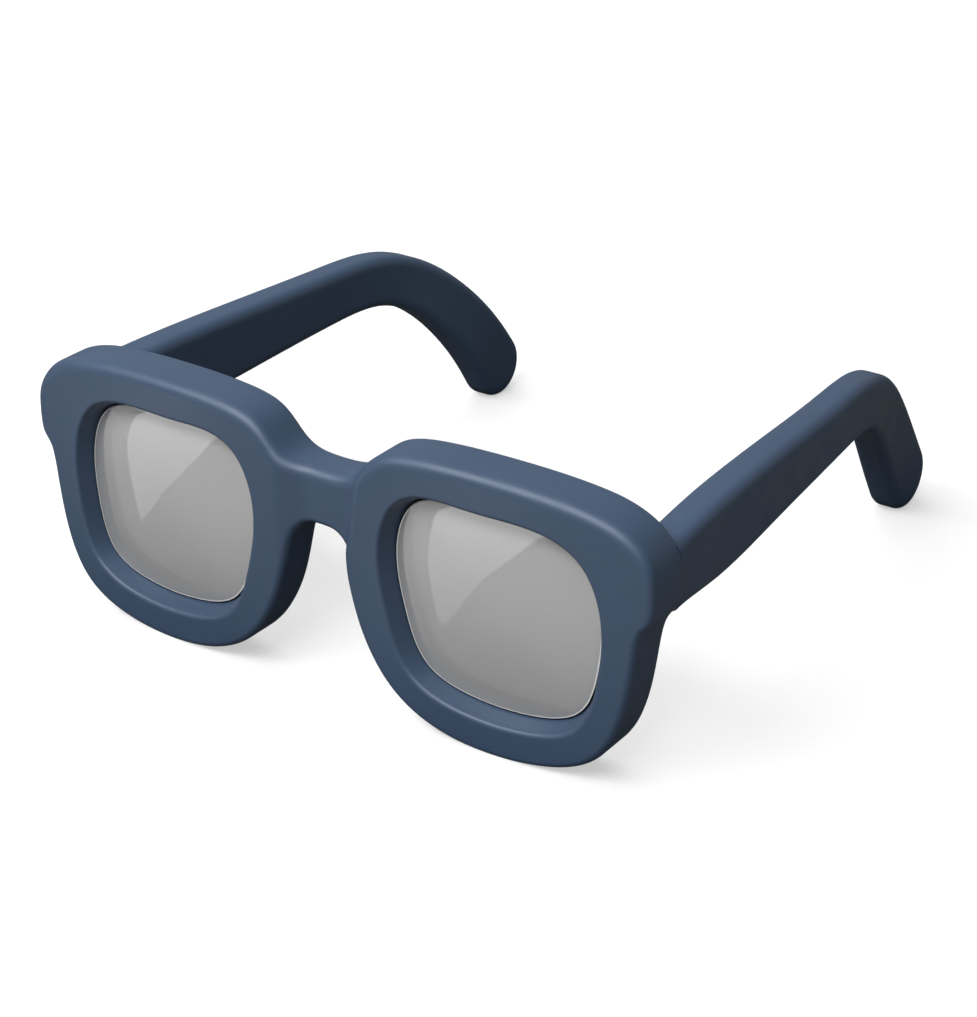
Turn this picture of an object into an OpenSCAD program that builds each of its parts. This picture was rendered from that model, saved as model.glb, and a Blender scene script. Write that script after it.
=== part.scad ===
// Square sunglasses with a chunky moulded front, recessed lenses and two folding temples.
// Millimetres, +Z up. The front faces -Y and the temples run towards +Y. The middle of the space
// it takes up is at x = 0 and y = 0, and the rims and temple tips rest at z = 0.
// Left and right are the wearer's: the left side is +X.

/* [Front] */
// Half of the width over the two endpieces
half_width = 70; // [64:0.5:74]
// Height of the brow line above the table
brow_height = 55.3; // [52:0.5:58]
// Front to back size of the moulded front
front_depth = 11; // [10:0.25:13]
// How much further back each lens sits for its distance from the middle
front_wrap = 1.16; // [0:0.04:2]
// Radius rolled round the front edge of the rims
front_edge_radius = 2.4; // [1.5:0.1:2.8]
// Radius of the back edge of the rims
back_edge_radius = 2; // [1:0.1:2.5]
// Height of the top of the bridge
bridge_top = 45.8; // [44:0.2:47]
// Height of the underside of the bridge
bridge_under = 34.8; // [33:0.2:37]
// Set back of the bridge face behind the rims
bridge_set_back = 1.6; // [0.6:0.1:2.2]
// Half of the gap over the nose, just under the bridge
nose_half_gap = 5.6; // [4.5:0.1:7]

/* [Lenses] */
// Distance between the middles of the two lenses
lens_spacing = 77; // [76:0.5:79]
// Height of the middle of the lens
lens_middle = 28.2; // [27.5:0.1:29]
// How far the lens edge sits behind the front face
lens_recess = 3.6; // [3:0.1:4.2]
// Thickness of the lens
lens_thickness = 2; // [1.6:0.1:2.4]
// How far the lens bulges forward in its middle
lens_bulge = 1; // [0.2:0.1:1.5]
// Depth of the groove that holds the lens
groove_depth = 1.1; // [0.8:0.1:1.4]
// Room between the lens bevel and its groove
lens_clearance = 0.06; // [0.03:0.01:0.1]
// Radius of the front edge of the lens opening
opening_edge_radius = 1.3; // [0.8:0.1:1.6]

/* [Temples] */
// Distance from the front face to the end of the temple tip
temple_reach = 141.5; // [136:0.5:147]
// Extra half height along the whole temple
temple_extra_height = 0; // [-0.4:0.1:0.5]
// Radius of the long edges of the temples
temple_edge_radius = 2.2; // [1.4:0.1:2.4]
// Gap between the endpiece and the end of the open temple
butt_gap = 0.3; // [0.25:0.05:0.5]
// Half height of the wire inside the temple
core_half_height = 1.2; // [0.8:0.1:1.5]
// Half thickness of the wire inside the temple
core_half_thickness = 0.6; // [0.4:0.05:0.8]
// Room round the wire inside the temple
core_clearance = 0.05; // [0.03:0.01:0.1]

/* [Hinges] */
// Outer radius of the hinge barrels
barrel_radius = 1.5; // [1.3:0.05:1.6]
// Height of each of the five barrels
barrel_height = 1.7; // [1.5:0.05:1.8]
// Gap between one barrel and the next
barrel_gap = 0.1; // [0.05:0.01:0.15]
// Radius of the hinge screw
screw_radius = 0.7; // [0.6:0.02:0.8]
// Room between the screw and the turning barrels
screw_clearance = 0.05; // [0.03:0.01:0.08]
// Thickness of both hinge plates
plate_thickness = 1.1; // [0.9:0.05:1.2]
// Room between a hinge plate and its pocket
plate_clearance = 0.06; // [0.04:0.01:0.1]
// Radius of the rivet shanks
rivet_radius = 0.6; // [0.5:0.05:0.7]
// Room between a rivet and its hole
rivet_clearance = 0.04; // [0.02:0.01:0.06]

/* [Hidden] */

frame_colour = [0.15, 0.2, 0.27];
lens_colour = [0.55, 0.56, 0.57];
steel_colour = [0.72, 0.73, 0.75];
cut = 0.5;

// Cubic spline over rows of numbers: the value, the slope and the bend at t
function value_weights(u) = [(1 - u) * (1 - u) * (1 - u), 3 * u * u * u - 6 * u * u + 4,
    -3 * u * u * u + 3 * u * u + 3 * u + 1, u * u * u] / 6;
function slope_weights(u) = [-3 * (1 - u) * (1 - u), 9 * u * u - 12 * u,
    -9 * u * u + 6 * u + 3, 3 * u * u] / 6;
function bend_weights(u) = [1 - u, 3 * u - 2, 1 - 3 * u, u];
function span_of(rows, t) = min(floor(t), len(rows) - 4);
function weigh(rows, i, w) = w[0] * rows[i] + w[1] * rows[i + 1] + w[2] * rows[i + 2] + w[3] * rows[i + 3];
function value_at(rows, t) = let (i = span_of(rows, t)) weigh(rows, i, value_weights(t - i));
function slope_at(rows, t) = let (i = span_of(rows, t)) weigh(rows, i, slope_weights(t - i));
function bend_at(rows, t) = let (i = span_of(rows, t)) weigh(rows, i, bend_weights(t - i));
function smooth(s) = let (c = max(0, min(1, s))) c * c * (3 - 2 * c);
function mix(a, b, s) = a * (1 - s) + b * s;

// Front and back surfaces of the moulded front, seen from above
hinge_side_x = half_width - 12;
bridge_flat = 5.4;
bridge_blend = 3;
bridge_foot = 28;
bridge_rise = 6;
front_plane = -(temple_reach + 0.25) / 2;
function wrap_y(x) = front_plane + front_wrap * x * x / 2000;
function face_y(x, z) = wrap_y(x) + bridge_set_back * (1 - smooth((abs(x) - bridge_flat) / bridge_blend))
    * smooth((z - bridge_foot) / bridge_rise);
function back_y(x) = front_depth + wrap_y(min(abs(x), hinge_side_x));
endpiece_back = back_y(half_width);

// Half outline of the front from the middle of the brow round to the underside of the bridge.
// Each row: x, z, the lens angle it looks at, and the radius of the back edge there.
rim_side = half_width - 3.3;
endpiece_bottom = 34;
sharp_back = 0.5;
nose_back_radius = back_edge_radius + 1.3;
front_rows = [
    [0, bridge_top, 150, back_edge_radius],
    [nose_half_gap + 0.4, bridge_top + 0.2, 147.5, back_edge_radius],
    [nose_half_gap + 3.8, bridge_top + 2.5, 142, back_edge_radius],
    [nose_half_gap + 7.9, brow_height - 1.7, 131, back_edge_radius],
    [half_width - 48, brow_height - 0.2, 118, back_edge_radius],
    [half_width - 34, brow_height + 0.1, 95, back_edge_radius],
    [half_width - 18.5, brow_height - 0.5, 66, back_edge_radius],
    [half_width - 6, brow_height - 2.8, 46, back_edge_radius],
    [half_width - 0.2, brow_height - 8.7, 30, 0.6 * back_edge_radius],
    [half_width, endpiece_bottom + 5.4, 18, sharp_back],
    [half_width - 0.3, endpiece_bottom + 0.8, 11, sharp_back],
    [rim_side + 1, endpiece_bottom - 1, 6, sharp_back],
    [rim_side + 0.1, endpiece_bottom - 5.5, 0, back_edge_radius],
    [rim_side - 1.2, 16.6, -20, back_edge_radius],
    [rim_side - 5.7, 5, -45, back_edge_radius],
    [rim_side - 16.3, 0.5, -67, back_edge_radius],
    [rim_side - 28.7, -0.6, -90, back_edge_radius],
    [rim_side - 40.7, 0.7, -113, back_edge_radius],
    [nose_half_gap + 10, 6.3, -136, nose_back_radius],
    [nose_half_gap + 3.8, 17, -160, nose_back_radius],
    [nose_half_gap + 1, 27, -180, nose_back_radius],
    [nose_half_gap, bridge_under - 1.8, -195, nose_back_radius],
    [nose_half_gap - 2.6, bridge_under, -201.5, nose_back_radius],
    [0, bridge_under, -204, nose_back_radius]];
row_count = len(front_rows);
function beyond(near, end) = [-near[0], near[1], 2 * end[2] - near[2], near[3]];
front_path = concat([beyond(front_rows[1], front_rows[0])], front_rows,
    [beyond(front_rows[row_count - 2], front_rows[row_count - 1])]);

// Lens outline: a closed spline through points at even angles round the lens middle
lens_reach = [21.6, 23.6, 19.1, 18.4, 27.4, 24.7, 21.9, 24.8, 21, 21.1, 25, 20.8];
reach_count = len(lens_reach);
lens_centre = [lens_spacing / 2, lens_middle];
lens_ring = [for (k = [0:reach_count - 1]) let (a = (k + 0.5) * 360 / reach_count)
    lens_centre + lens_reach[k] * [cos(a), sin(a)]];
lens_path = concat(lens_ring, [lens_ring[0], lens_ring[1], lens_ring[2]]);
function lens_t(angle) = let (t = angle * reach_count / 360 - 1.5) t - reach_count * floor(t / reach_count);
function lens_edge(angle, out) = let (t = lens_t(angle), s = slope_at(lens_path, t))
    value_at(lens_path, t) + out * [s[1], -s[0]] / norm(s);

// Sizes of the opening and its groove, measured outwards from the visible lens edge
wall_flare = 1.1;
back_flare = 0.3;
back_opening_radius = 0.8;
bevel_front = lens_recess + 0.6;
bevel_back = bevel_front + 1.2;
bevel_middle = (bevel_front + bevel_back) / 2;
lens_gap = 0.25;

function with_y(p, y) = [p[0], y, p[1]];
function lens_side(angle, out, y) = let (p = lens_edge(angle, out)) with_y(p, wrap_y(p[0]) + y);

// One cross-section of the front at t along its outline
steps = 3;
last = (row_count - 1) * steps;
bridge_steps = 3;
stations = last + 1 + bridge_steps;
face_stops = [0.3, 0.44, 0.58, 0.72, 0.86];
front_turns = [0, 30, 60, 90];
back_turns = [90, 45, 0];
function outward(t) = let (s = slope_at(front_path, t)) [-s[1], s[0]] / norm([s[0], s[1]]);
function room(t) = let (s = slope_at(front_path, t), b = bend_at(front_path, t),
    k = (s[1] * b[0] - s[0] * b[1]) / pow(norm([s[0], s[1]]), 3)) k > 0.001 ? 0.8 / k : 1000;
function outer_points(t) = let (row = value_at(front_path, t), p = [row[0], row[1]], n = outward(t),
    rf = min(front_edge_radius, room(t)), rb = min(row[3], room(t)))
    concat([for (a = front_turns) let (q = p - n * rf * (1 - sin(a)))
            with_y(q, face_y(q[0], q[1]) + rf * (1 - cos(a)))],
        [for (a = back_turns) let (q = p - n * rb * (1 - sin(a)))
            with_y(q, back_y(q[0]) - rb * (1 - cos(a)))]);
first_outer = outer_points(0);
last_outer = outer_points(row_count - 1);
function station_angle(i) = i <= last ? value_at(front_path, i / steps)[2]
    : mix(front_rows[row_count - 1][2], front_rows[0][2] - 360, (i - last) / (bridge_steps + 1));
function station_outer(i) = i <= last ? outer_points(i / steps)
    : mix(last_outer, first_outer, (i - last) / (bridge_steps + 1));
function face_point(a, b, s) = let (p = mix([a[0], a[2]], [b[0], b[2]], s)) with_y(p, face_y(p[0], p[1]));
function opening_turn(angle, a) = let (p = lens_edge(angle, wall_flare + opening_edge_radius * (1 - sin(a))))
    with_y(p, wrap_y(p[0]) + opening_edge_radius * (1 - cos(a)));
function back_turn(angle, a) = let (p = lens_edge(angle, back_flare + back_opening_radius * (1 - sin(a))))
    with_y(p, back_y(p[0]) - back_opening_radius * (1 - cos(a)));
function section(i) = let (angle = station_angle(i), outer = station_outer(i), rim = opening_turn(angle, 0))
    concat([rim], [for (s = face_stops) face_point(rim, outer[0], s)], outer,
        [for (a = [0, 45, 90]) back_turn(angle, a)],
        [lens_side(angle, 0, bevel_back), lens_side(angle, groove_depth, bevel_middle),
            lens_side(angle, 0, bevel_front)],
        [for (a = [90, 60, 30]) opening_turn(angle, a)]);
sections = [for (i = [0:stations - 1]) section(i)];
per_section = len(sections[0]);
outer_first = len(face_stops) + 1;
outer_last = outer_first + len(front_turns) + len(back_turns) - 1;
half_points = [for (s = sections) for (p = s) p];
function on_middle(i, j) = (i == 0 || i >= last) && j >= outer_first && j <= outer_last;
function point_index(side, i, j) = let (here = i * per_section + j)
    side == 1 && on_middle(i, j) ? here : side * stations * per_section + here;
function quad(a, b, c, d, flip) = flip ? [[a, b, c], [a, c, d]] : [[a, d, c], [a, c, b]];
front_faces = [for (side = [0, 1]) for (i = [0:stations - 1]) for (j = [0:per_section - 1])
    let (ni = (i + 1) % stations, nj = (j + 1) % per_section,
        closed = i >= last && j >= outer_first && j < outer_last)
    if (!closed) for (f = quad(point_index(side, i, j), point_index(side, ni, j),
        point_index(side, ni, nj), point_index(side, i, nj), side == 1)) f];

module front_body() {
    polyhedron(points = concat(half_points, [for (p = half_points) [-p[0], p[1], p[2]]]), faces = front_faces);
}

// Lens: rings from the middle of the front face, over the bevel, to the middle of the back face
lens_angles = [for (i = [0:stations - 1]) station_angle(i)];
function dome_y(s) = -lens_bulge * (1 - s * s);
function lens_face(angle, s, y) = let (p = mix(lens_centre, lens_edge(angle, -0.7), s))
    with_y(p, wrap_y(p[0]) + y + dome_y(s));
lens_shapes = [for (a = lens_angles) [
    lens_face(a, 0.5, lens_recess),
    lens_face(a, 1, lens_recess),
    lens_side(a, -lens_gap, lens_recess + 0.45),
    lens_side(a, groove_depth - 1.4 * lens_clearance, bevel_middle),
    lens_side(a, -lens_gap, bevel_back + 0.1),
    lens_face(a, 1, lens_recess + lens_thickness),
    lens_face(a, 0.5, lens_recess + lens_thickness)]];
lens_rings = len(lens_shapes[0]);
lens_points = concat([for (s = lens_shapes) for (p = s) p],
    [lens_face(0, 0, lens_recess), lens_face(0, 0, lens_recess + lens_thickness)]);
lens_faces = [for (i = [0:stations - 1]) let (ni = (i + 1) % stations, a = i * lens_rings, b = ni * lens_rings)
    each concat([[stations * lens_rings, a, b]],
        [for (j = [0:lens_rings - 2]) each [[a + j, a + j + 1, b + j + 1], [a + j, b + j + 1, b + j]]],
        [[stations * lens_rings + 1, b + lens_rings - 1, a + lens_rings - 1]])];

module lens() {
    polyhedron(points = lens_points, faces = lens_faces);
}

// Temple: each row is x, y, z of the middle, half height and half thickness
butt_y = endpiece_back + butt_gap;
temple_stretch = temple_reach / 141.5;
function along(y) = butt_y + (y - 13.3) * temple_stretch;
temple_rows = [
    [half_width - 5, butt_y, 40.2, 6.2, 3.9],
    [half_width - 6.5, along(30.5), 38.8, 8.4, 4],
    [half_width - 8.1, along(57.5), 39.4, 7.1, 3.8],
    [half_width - 9.2, along(81), 39.5, 6, 3.7],
    [half_width - 10.6, along(98.5), 39.9, 5.7, 3.6],
    [half_width - 13.4, along(111.3), 33.8, 5.9, 3.8],
    [half_width - 16, along(122.2), 23.4, 6.5, 3.9],
    [half_width - 17, along(129.8), 13.9, 7, 3.8],
    [half_width - 17.1, along(134.4), 7.15, 7.4, 3.6]];
temple_count = len(temple_rows);
temple_path = concat(
    [let (a = temple_rows[0], b = temple_rows[1]) [2 * a[0] - b[0], 2 * a[1] - b[1], b[2], b[3], b[4]]],
    temple_rows,
    [2 * temple_rows[temple_count - 1] - temple_rows[temple_count - 2]]);
corner_turns = [0, 30, 60, 90];
function rounded(half_high, half_thick, r) = concat(
    [for (a = corner_turns) [half_thick - r + r * cos(a), half_high - r + r * sin(a)]],
    [for (a = corner_turns) [-(half_thick - r) - r * sin(a), half_high - r + r * cos(a)]]);
function side_vector(u, v, p, sign) = [p[0], sign * u[0] * p[1] + v[0] * p[1], sign * u[1] * p[1] + v[1] * p[1]];
function ring_at(c, up, ahead, half_high, half_thick, r, a) = let (top = rounded(half_high, half_thick, r),
    u = up * cos(a), v = ahead * sin(a), middle = [c[0], c[1], c[2]])
    concat([for (p = top) middle + side_vector(u, v, p, 1)],
        [for (k = [len(top) - 1:-1:0]) middle + side_vector(u, v, top[k], -1)]);
function up_at(t) = let (s = slope_at(temple_path, t)) [-s[2], s[1]] / norm([s[1], s[2]]);
function ahead_at(t) = let (u = up_at(t)) [u[1], -u[0]];
function bar_ring(t) = let (c = value_at(temple_path, t))
    ring_at(c, up_at(t), ahead_at(t), c[3] + temple_extra_height, c[4], temple_edge_radius, 0);
function tip_ring(a) = let (t = temple_count - 1, c = value_at(temple_path, t))
    ring_at(c, up_at(t), ahead_at(t), c[3] + temple_extra_height, c[4], temple_edge_radius, a);
temple_steps = 2;
temple_rings = concat([for (i = [0:(temple_count - 1) * temple_steps]) bar_ring(i / temple_steps)],
    [for (a = [22, 44, 66, 84]) tip_ring(a)]);

function tube_faces(rings, per) = concat(
    [for (i = [0:rings - 2]) for (j = [0:per - 1]) let (nj = (j + 1) % per)
        each quad(i * per + j, (i + 1) * per + j, (i + 1) * per + nj, i * per + nj, false)],
    [for (k = [0:per / 2 - 2]) each [[k, per - 2 - k, k + 1], [k, per - 1 - k, per - 2 - k]]],
    [for (k = [0:per / 2 - 2]) let (b = (rings - 1) * per)
        each [[b + k, b + k + 1, b + per - 2 - k], [b + k, b + per - 2 - k, b + per - 1 - k]]]);

module tube(rings) {
    polyhedron(points = [for (r = rings) for (p = r) p], faces = tube_faces(len(rings), len(rings[0])));
}

// Wire core: the same path, started behind the hinge and stopped inside the tip
core_start = 1.1;
core_end = temple_count - 1.6;
core_count = 10;
function core_ring(t, extra) = let (c = value_at(temple_path, t), u = up_at(t), middle = [c[0], c[1], c[2]])
    [for (a = [0:45:359]) middle + [(core_half_thickness + extra) * cos(a),
        u[0] * (core_half_height + extra) * sin(a), u[1] * (core_half_height + extra) * sin(a)]];
function core_rings(extra) = let (more = extra / 25)
    [for (k = [0:core_count]) core_ring(mix(core_start - more, core_end + more, k / core_count), extra)];
function core_faces(rings, per) = concat(
    [for (i = [0:rings - 2]) for (j = [0:per - 1]) let (nj = (j + 1) % per)
        each quad(i * per + j, (i + 1) * per + j, (i + 1) * per + nj, i * per + nj, false)],
    [[for (j = [per - 1:-1:0]) j]],
    [[for (j = [0:per - 1]) (rings - 1) * per + j]]);

module core(extra) {
    rings = core_rings(extra);
    polyhedron(points = [for (r = rings) for (p = r) p], faces = core_faces(len(rings), len(rings[0])));
}

// Hinge: five barrels in a row up the pin, three on the front and two on the temple
pin_x = half_width - 8.85;
pin_y = endpiece_back + barrel_radius;
hinge_middle = 40;
barrel_pitch = barrel_height + barrel_gap;
stack_height = 5 * barrel_height + 4 * barrel_gap;
stack_bottom = hinge_middle - stack_height / 2;
turn_room = 0.3;
head_height = 0.6;
plate_half_height = stack_height / 2 + 0.3;
front_plate_in = pin_x - 0.9;
front_plate_out = pin_x + 6.4;
plate_sink = 0.08;
front_plate_back = endpiece_back - plate_sink;
toe_angle = atan2(1.5, along(30.5) - butt_y);
leaf_start = barrel_radius + 0.5;
leaf_end = 13.5;
inner_offset = half_width - 8.9 - pin_x;
leaf_face = inner_offset + 0.1;
rivet_head_radius = 1.1;
rivet_depth = 3.4;
front_rivet_x = pin_x + 4.3;
front_rivet_z = 2.6;
near_rivet = 5.6;
far_rivet = 10.6;
$fn = 16;

module barrel(level, bore) {
    translate([0, 0, stack_bottom + level * barrel_pitch]) difference() {
        children();
        translate([0, 0, -cut]) cylinder(h = barrel_height + 2 * cut, r = bore);
    }
}

module front_leaf() {
    translate([front_plate_in, front_plate_back - plate_thickness, hinge_middle - plate_half_height])
        difference() {
            cube([front_plate_out - front_plate_in, plate_thickness, 2 * plate_half_height]);
            for (z = [-front_rivet_z, front_rivet_z])
                translate([front_rivet_x - front_plate_in, plate_thickness, plate_half_height + z])
                    rotate([90, 0, 0]) front_rivet_shape(rivet_clearance, cut);
        }
    translate([pin_x, pin_y, 0]) for (level = [0, 2, 4])
        barrel(level, screw_radius + screw_clearance / 2) union() {
            cylinder(h = barrel_height, r = barrel_radius);
            translate([front_plate_in - pin_x, -barrel_radius - 2 * plate_sink, 0])
                cube([2.4, barrel_radius + 2 * plate_sink, barrel_height]);
        }
}

// Countersunk rivet standing on its head, grown by extra for the hole it fills
module front_rivet_shape(extra, over) {
    translate([0, 0, -over]) cylinder(h = over + 0.01, r = rivet_head_radius + extra);
    cylinder(h = rivet_head_radius - rivet_radius, r1 = rivet_head_radius + extra, r2 = rivet_radius + extra);
    cylinder(h = plate_thickness + rivet_depth + extra, r = rivet_radius + extra);
}

module front_rivet(z) {
    translate([front_rivet_x, front_plate_back - 0.02, hinge_middle + z]) rotate([90, 0, 0]) {
        cylinder(h = rivet_head_radius - rivet_radius, r1 = rivet_head_radius, r2 = rivet_radius);
        cylinder(h = plate_thickness + rivet_depth - 0.1, r = rivet_radius);
    }
}

// The temple leaf lies along the toed-in inner face, so it is drawn about the pin and turned
module along_temple() {
    translate([pin_x, pin_y, 0]) rotate([0, 0, toe_angle]) children();
}

module temple_leaf() {
    along_temple() {
        difference() {
            translate([leaf_face, leaf_start, hinge_middle - plate_half_height])
                cube([plate_thickness, leaf_end - leaf_start, 2 * plate_half_height]);
            for (y = [near_rivet, far_rivet])
                translate([leaf_face - cut, y, hinge_middle]) rotate([0, 90, 0])
                    cylinder(h = plate_thickness + 2 * cut, r = rivet_radius + rivet_clearance);
        }
        for (level = [1, 3]) barrel(level, screw_radius + screw_clearance) union() {
            cylinder(h = barrel_height, r = barrel_radius);
            translate([leaf_face, 0, 0]) cube([plate_thickness, leaf_start + 0.4, barrel_height]);
        }
    }
}

module temple_rivet(y) {
    along_temple() translate([leaf_face, y, hinge_middle]) rotate([0, 90, 0]) {
        translate([0, 0, -0.4]) cylinder(h = 0.38, r1 = 0.7, r2 = rivet_head_radius);
        translate([0, 0, -0.02 - 0.1]) cylinder(h = plate_thickness + rivet_depth, r = rivet_radius);
    }
}

module screw() {
    translate([pin_x, pin_y, stack_bottom]) {
        cylinder(h = stack_height + 0.1, r = screw_radius);
        difference() {
            translate([0, 0, stack_height + 0.05]) cylinder(h = head_height, r = 1.25);
            translate([-2, -0.15, stack_height + 0.4]) cube([4, 0.3, 1]);
        }
    }
}

// Pockets and holes the hinge needs in the front and in the temple
module front_pockets() {
    translate([front_plate_in - plate_clearance, front_plate_back - plate_thickness - plate_clearance,
            hinge_middle - plate_half_height - plate_clearance])
        cube([front_plate_out - front_plate_in + 2 * plate_clearance, plate_thickness + 2,
            2 * (plate_half_height + plate_clearance)]);
    for (z = [-front_rivet_z, front_rivet_z])
        translate([front_rivet_x, front_plate_back, hinge_middle + z]) rotate([90, 0, 0])
            cylinder(h = plate_thickness + rivet_depth + 0.1, r = rivet_radius + rivet_clearance);
}

module temple_pockets() {
    translate([pin_x - 4, butt_y - 2, stack_bottom - turn_room])
        cube([4 + barrel_radius + turn_room, pin_y + barrel_radius + turn_room - butt_y + 2,
            stack_height + head_height + 2 * turn_room + 0.1]);
    along_temple() {
        translate([-4, 0, hinge_middle - plate_half_height - plate_clearance])
            cube([4 + leaf_face + plate_thickness + plate_clearance, leaf_end + plate_clearance,
                2 * (plate_half_height + plate_clearance)]);
        for (y = [near_rivet, far_rivet]) translate([leaf_face, y, hinge_middle]) rotate([0, 90, 0])
            cylinder(h = plate_thickness + rivet_depth + 0.1, r = rivet_radius + rivet_clearance);
    }
}

// The table plane trims a small flat under each rim and under each temple tip
module below_table() {
    translate([-100, -150, -20]) cube([200, 300, 20]);
}

module other_side() {
    mirror([1, 0, 0]) children();
}

module front_frame() {
    color(frame_colour) difference() {
        front_body();
        below_table();
        front_pockets();
        other_side() front_pockets();
    }
}

module temple_solid() {
    color(frame_colour) difference() {
        tube(temple_rings);
        below_table();
        temple_pockets();
        core(core_clearance);
    }
}

module left_lens() {
    color(lens_colour) lens();
}
module right_lens() {
    color(lens_colour) other_side() lens();
}
module left_temple() {
    temple_solid();
}
module right_temple() {
    other_side() temple_solid();
}
module left_temple_core() {
    color(steel_colour) core(0);
}
module right_temple_core() {
    color(steel_colour) other_side() core(0);
}
module left_front_leaf() {
    color(steel_colour) front_leaf();
}
module right_front_leaf() {
    color(steel_colour) other_side() front_leaf();
}
module left_temple_leaf() {
    color(steel_colour) temple_leaf();
}
module right_temple_leaf() {
    color(steel_colour) other_side() temple_leaf();
}
module left_hinge_screw() {
    color(steel_colour) screw();
}
module right_hinge_screw() {
    color(steel_colour) other_side() screw();
}
module left_front_rivet_upper() {
    color(steel_colour) front_rivet(front_rivet_z);
}
module left_front_rivet_lower() {
    color(steel_colour) front_rivet(-front_rivet_z);
}
module right_front_rivet_upper() {
    color(steel_colour) other_side() front_rivet(front_rivet_z);
}
module right_front_rivet_lower() {
    color(steel_colour) other_side() front_rivet(-front_rivet_z);
}
module left_temple_rivet_near() {
    color(steel_colour) temple_rivet(near_rivet);
}
module left_temple_rivet_far() {
    color(steel_colour) temple_rivet(far_rivet);
}
module right_temple_rivet_near() {
    color(steel_colour) other_side() temple_rivet(near_rivet);
}
module right_temple_rivet_far() {
    color(steel_colour) other_side() temple_rivet(far_rivet);
}

front_frame();
left_lens();
right_lens();
left_temple();
right_temple();
left_temple_core();
right_temple_core();
left_front_leaf();
right_front_leaf();
left_temple_leaf();
right_temple_leaf();
left_hinge_screw();
right_hinge_screw();
left_front_rivet_upper();
left_front_rivet_lower();
right_front_rivet_upper();
right_front_rivet_lower();
left_temple_rivet_near();
left_temple_rivet_far();
right_temple_rivet_near();
right_temple_rivet_far();
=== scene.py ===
"""Square sunglasses: the smooth moulded front, lenses, temples and hinges, and the studio round them.

The classes hold their sizes in millimetres, and a mesh is made in metres. The front faces -Y, the
temples run towards +Y, and the left side is the wearer's left, at +X.
"""

import logging
import math
from dataclasses import dataclass, field
from enum import Enum
from itertools import product
from typing import Callable, Mapping, Sequence

import bmesh
import bpy
import numpy as np
from mathutils import Matrix, Vector


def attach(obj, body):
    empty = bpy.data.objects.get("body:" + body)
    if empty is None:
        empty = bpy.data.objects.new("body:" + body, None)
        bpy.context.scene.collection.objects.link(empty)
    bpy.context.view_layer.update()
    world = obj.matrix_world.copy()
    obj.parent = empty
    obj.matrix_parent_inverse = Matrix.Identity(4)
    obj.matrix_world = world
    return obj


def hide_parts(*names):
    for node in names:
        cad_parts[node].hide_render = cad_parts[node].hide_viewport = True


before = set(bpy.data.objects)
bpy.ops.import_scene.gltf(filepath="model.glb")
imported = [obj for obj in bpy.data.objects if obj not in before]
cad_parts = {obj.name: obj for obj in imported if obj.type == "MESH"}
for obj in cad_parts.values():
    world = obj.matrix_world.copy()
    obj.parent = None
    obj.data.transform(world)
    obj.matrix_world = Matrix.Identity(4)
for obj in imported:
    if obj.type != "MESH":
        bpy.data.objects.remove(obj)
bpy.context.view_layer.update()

MM = 0.001
SAME_PLACE = 2e-6
NO_LENGTH = 1e-7
log = logging.getLogger("sunglasses")

Point = np.ndarray
Face = tuple[int, ...]
Socket = bpy.types.NodeSocket
Span = tuple[float, float]
Triple = tuple[float, float, float]
Source = Socket | float | str | Sequence[float]


class Side(Enum):
    """The wearer's side that a piece is on."""

    LEFT = 1.0
    RIGHT = -1.0

    @property
    def word(self) -> str:
        """The side's name as it stands in node names."""
        return self.name.lower()

    @property
    def flip(self) -> Point:
        """What a point of the left side is multiplied by to stand on this side."""
        return np.array([self.value, 1, 1])


class LensFace(Enum):
    """The material slots of a lens."""

    GLASS = 0
    GROUND = 1
    SHADE = 2


class Shading(Enum):
    """How the faces of a mesh are shaded: the largest angle that stays smooth, in degrees."""

    SOFT = 60.0
    CRISP = 32.0


# ---- Meshes ----


def tidy_mesh(mesh: bpy.types.Mesh, merge: bool, shading: Shading) -> None:
    """Merges doubles, turns the faces outwards and sets how they are shaded.

    Args:
        mesh: The mesh to work on.
        merge: Whether points in one place become one point.
        shading: The angle up to which neighbouring faces look like one surface.
    """
    work = bmesh.new()
    work.from_mesh(mesh)
    if merge:
        bmesh.ops.remove_doubles(work, verts=work.verts, dist=SAME_PLACE)
        bmesh.ops.dissolve_degenerate(work, edges=work.edges, dist=NO_LENGTH)
    loose = [v for v in work.verts if not v.link_faces]
    bmesh.ops.delete(work, geom=loose, context="VERTS")
    bmesh.ops.recalc_face_normals(work, faces=work.faces)
    for f in work.faces:
        f.smooth = True
    work.to_mesh(mesh)
    work.free()
    mesh.set_sharp_from_angle(angle=math.radians(shading.value))
    mesh.update()


def make_object(name: str, points: Sequence[Point], faces: Sequence[Face]) -> bpy.types.Object:
    """Makes an object from points in millimetres and faces.

    Args:
        name: The object's name.
        points: The points, x, y and z each.
        faces: Point numbers of each face.

    Returns:
        The new object, at the origin and in the scene.
    """
    mesh = bpy.data.meshes.new(name)
    mesh.from_pydata((np.asarray(points) * MM).tolist(), [], [tuple(f) for f in faces])
    mesh.update()
    thing = bpy.data.objects.new(name, mesh)
    bpy.context.scene.collection.objects.link(thing)
    return thing


def bake_modifiers(thing: bpy.types.Object) -> None:
    """Turns an object and its modifiers into a plain mesh."""
    bpy.context.view_layer.update()
    graph = bpy.context.evaluated_depsgraph_get()
    mesh = bpy.data.meshes.new_from_object(thing.evaluated_get(graph), depsgraph=graph)
    old = thing.data
    thing.modifiers.clear()
    thing.data = mesh
    mesh.name = thing.name
    bpy.data.meshes.remove(old)


def wear(thing: bpy.types.Object, *finishes: bpy.types.Material) -> None:
    """Gives an object its materials, one for each slot."""
    thing.data.materials.clear()
    for finish in finishes:
        thing.data.materials.append(finish)


def box_points(low: Sequence[float], high: Sequence[float]) -> list[Point]:
    """The eight corners of a box, in millimetres."""
    return [np.array(corner, dtype=float) for corner in product(*zip(low, high))]


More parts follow.
